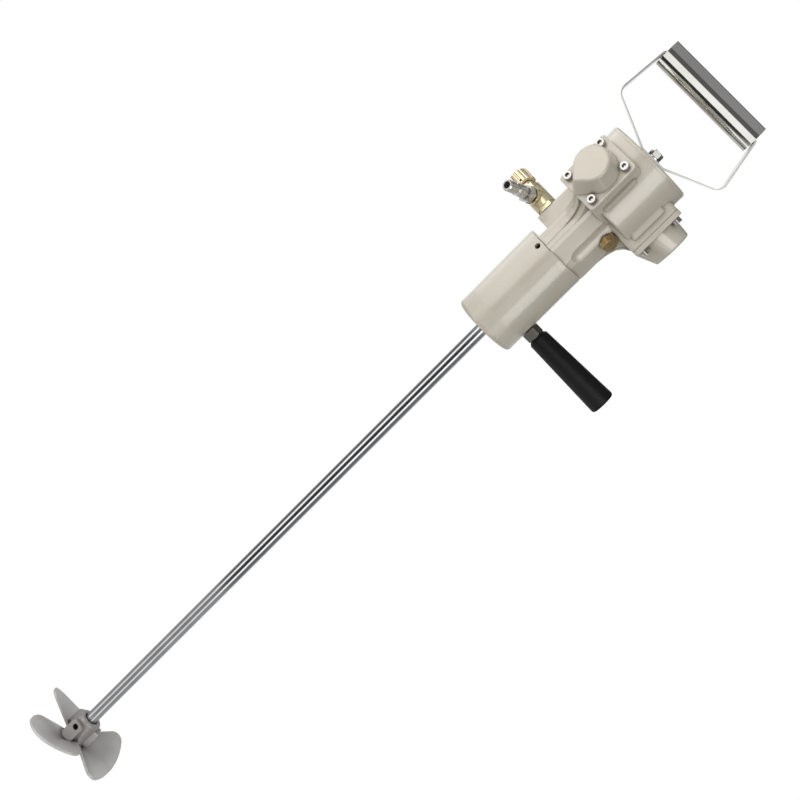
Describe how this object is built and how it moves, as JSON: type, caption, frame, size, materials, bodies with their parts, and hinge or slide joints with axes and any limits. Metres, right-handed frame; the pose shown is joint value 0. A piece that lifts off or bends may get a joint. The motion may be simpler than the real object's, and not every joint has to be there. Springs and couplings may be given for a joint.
{
  "type": "tank agitator",
  "caption": "Hand-held air agitator: radial piston air motor with bail grip and side handle turning a long shaft with a bladed propeller.",
  "frame": {"origin": "middle of the bail's tube grip, on the shaft axis", "axes": "+Z along the shaft axis from the propeller up to the bail grip, +X along the bail's grip on the side of the side handle, -Y the side that the needle valve's air plug points to"},
  "size_m": [0.2661, 0.1752, 1.1315],
  "materials": {
    "casing_paint": "gloss stoving enamel on cast aluminium",
    "bail_steel": "bright rolled stainless strap",
    "grip_steel": "polished stainless tube",
    "shaft_steel": "polished stainless bar",
    "propeller_steel": "blasted cast stainless",
    "screw_steel": "bright zinc-plated steel",
    "nut_steel": "turned steel",
    "black_screw": "black oxide steel",
    "black_plastic": "moulded phenolic",
    "brass": "machined brass",
    "plug_steel": "nickel-plated steel",
    "seal_rubber": "nitrile rubber",
    "gasket_sheet": "gasket sheet",
    "machined_steel": "ground steel",
    "bearing_steel": "polished bearing steel",
    "piston_aluminium": "turned aluminium",
    "liner_iron": "honed grey iron",
    "sintered_bronze": "sintered bronze"
  },
  "bodies": {
    "root": {"bail_strap": "bail_steel", "bail_bolt": "screw_steel", "bail_washer": "screw_steel", "end_cover": "casing_paint", "end_cover_screws": "black_screw", "motor_casing": "casing_paint", "valve_sleeve": "sintered_bronze", "crank_seal": "seal_rubber", "lower_housing": "casing_paint", "housing_set_screws": "black_screw", "housing_circlip": "black_screw", "outer_spacer": "machined_steel", "shaft_seal": "seal_rubber", "handle_stud": "nut_steel", "handle_nut": "nut_steel", "handle_grip": "black_plastic", "valve_body": "brass", "valve_bonnet": "brass", "air_plug": "plug_steel", "air_plug_seal": "seal_rubber", "port_plug": "brass", "port_washer": "gasket_sheet", "exhaust_silencer": "sintered_bronze", "outer_bearing_rings": "bearing_steel", "cylinder_cover_a": "casing_paint", "cylinder_cover_b": "casing_paint", "cylinder_cover_c": "casing_paint", "piston_a": "piston_aluminium", "piston_b": "piston_aluminium", "piston_c": "piston_aluminium", "cylinder_liners": "liner_iron", "cover_gaskets": "gasket_sheet", "cover_screws": "screw_steel", "piston_rings": "liner_iron", "gudgeon_pins": "machined_steel", "piston_rods": "machined_steel"},
    "rotor": {"agitator_shaft": "shaft_steel", "propeller": "propeller_steel", "propeller_screws": "black_screw", "crankshaft": "machined_steel", "eccentric_bush": "sintered_bronze", "rotary_valve": "machined_steel", "coupling": "machined_steel", "coupling_screws": "black_screw", "shaft_keys": "machined_steel", "shaft_circlip": "black_screw", "inner_spacer": "machined_steel", "inner_bearing_rings": "bearing_steel"},
    "drive_ring": {"drive_ring": "machined_steel"},
    "cages": {"bearing_balls": "bearing_steel", "bearing_cages": "brass"},
    "needle": {"valve_needle": "plug_steel"},
    "knob": {"valve_knob": "brass", "knob_screw": "black_screw"},
    "grip": {"bail_grip": "grip_steel"}
  },
  "joints": [
    {"name": "shaft_spin", "type": "hinge", "parent": "root", "child": "rotor", "pos_m": [0, 0, -0.1465], "axis": [0, 0, 1], "continuous": true},
    {"name": "ring_orbit", "type": "hinge", "parent": "rotor", "child": "drive_ring", "pos_m": [-0.005, -0.00866, -0.1465], "axis": [0, 0, 1], "continuous": true},
    {"name": "cage_orbit", "type": "hinge", "parent": "root", "child": "cages", "pos_m": [0, 0, -0.1465], "axis": [0, 0, 1], "continuous": true},
    {"name": "needle_lift", "type": "slide", "parent": "root", "child": "needle", "axis": [-0.8192, 0.5736, 0], "range_m": [0, 0.003]},
    {"name": "knob_turn", "type": "hinge", "parent": "root", "child": "knob", "pos_m": [-0.08601, 0.06023, -0.2136], "axis": [-0.8192, 0.5736, 0], "range_deg": [0, 1080]},
    {"name": "grip_roll", "type": "hinge", "parent": "root", "child": "grip", "pos_m": [0, 0, 0], "axis": [1, 0, 0], "continuous": true}
  ],
  "couplings": [
    {"joint": "ring_orbit", "follows": "shaft_spin", "ratio": -1},
    {"joint": "cage_orbit", "follows": "shaft_spin", "ratio": 0.38},
    {"joint": "needle_lift", "follows": "knob_turn", "m_per_rad": 0.000159}
  ]
}
